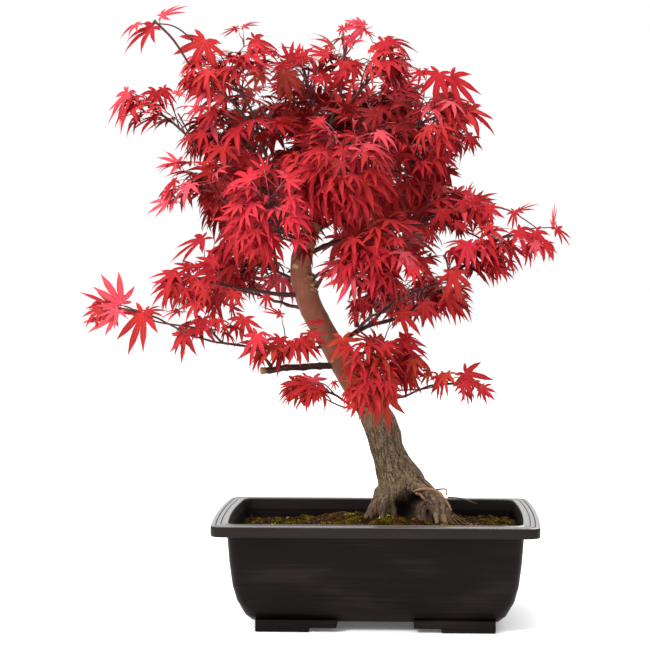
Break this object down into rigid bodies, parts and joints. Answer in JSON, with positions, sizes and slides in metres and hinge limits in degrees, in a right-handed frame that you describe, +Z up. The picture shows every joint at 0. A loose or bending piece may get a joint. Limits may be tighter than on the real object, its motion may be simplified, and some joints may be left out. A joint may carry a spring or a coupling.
{
  "type": "japanese maple bonsai",
  "caption": "Potted japanese maple bonsai: leaning S-shaped trunk with surface roots, tapering boughs and masses of red star-shaped leaves, in a dark rectangular training pot.",
  "frame": {"origin": "on the floor, under the middle of the whole plant's box seen from above", "axes": "+Z up; +X along the pot's long side, to the right as seen from the front; the front of the tree faces -Y"},
  "size_m": [0.4178, 0.2602, 0.529],
  "materials": {
    "pot_plastic": "satin black-brown plastic with faint dust",
    "soil": "matt soil with moss",
    "trunk_bark": "matt fissured bark",
    "bough_bark": "smooth young bark",
    "leaf_crimson": "satin leaf",
    "leaf_scarlet": "satin leaf",
    "leaf_pink": "satin young leaf"
  },
  "bodies": {
    "root": {"back_left": "leaf_crimson", "back_left_bough": "bough_bark", "back_low_left": "leaf_crimson", "back_low_right": "leaf_crimson", "back_right": "leaf_crimson", "back_right_bough": "bough_bark", "back_top": "leaf_crimson", "centre_left": "leaf_crimson", "crown_heart": "leaf_crimson", "crown_left": "leaf_crimson", "crown_right": "leaf_crimson", "crown_right_bough": "bough_bark", "crown_top": "leaf_crimson", "cut_stub": "bough_bark", "front_left_bough": "bough_bark", "front_low": "leaf_scarlet", "heart_bough": "bough_bark", "leader": "bough_bark", "left_back_bough": "bough_bark", "left_bough": "bough_bark", "left_far": "leaf_pink", "left_far_shoot": "bough_bark", "left_high_bough": "bough_bark", "left_inner": "leaf_crimson", "left_low": "leaf_crimson", "left_mid": "leaf_crimson", "left_mid_upper": "leaf_crimson", "left_shoot": "bough_bark", "left_upper": "leaf_crimson", "left_upper_bough": "bough_bark", "low_left": "leaf_scarlet", "low_left_twig": "bough_bark", "low_right": "leaf_scarlet", "low_right_far": "leaf_scarlet", "low_right_twig": "bough_bark", "pot": "pot_plastic", "right_back_bough": "bough_bark", "right_bough": "bough_bark", "right_far": "leaf_crimson", "right_far_bough": "bough_bark", "right_front_bough": "bough_bark", "right_low": "leaf_crimson", "right_mid": "leaf_crimson", "right_reach_bough": "bough_bark", "right_shoulder": "leaf_crimson", "right_tip": "leaf_pink", "right_tip_shoot": "bough_bark", "right_upper": "leaf_crimson", "shoulder_bough": "bough_bark", "soil": "soil", "stub_cloud": "leaf_scarlet", "top_centre": "leaf_crimson", "top_left": "leaf_crimson", "top_left_bough": "bough_bark", "top_left_shoot": "bough_bark", "top_left_tip": "leaf_pink", "top_right": "leaf_crimson", "top_tuft": "leaf_crimson", "trunk": "trunk_bark"}
  },
  "joints": []
}
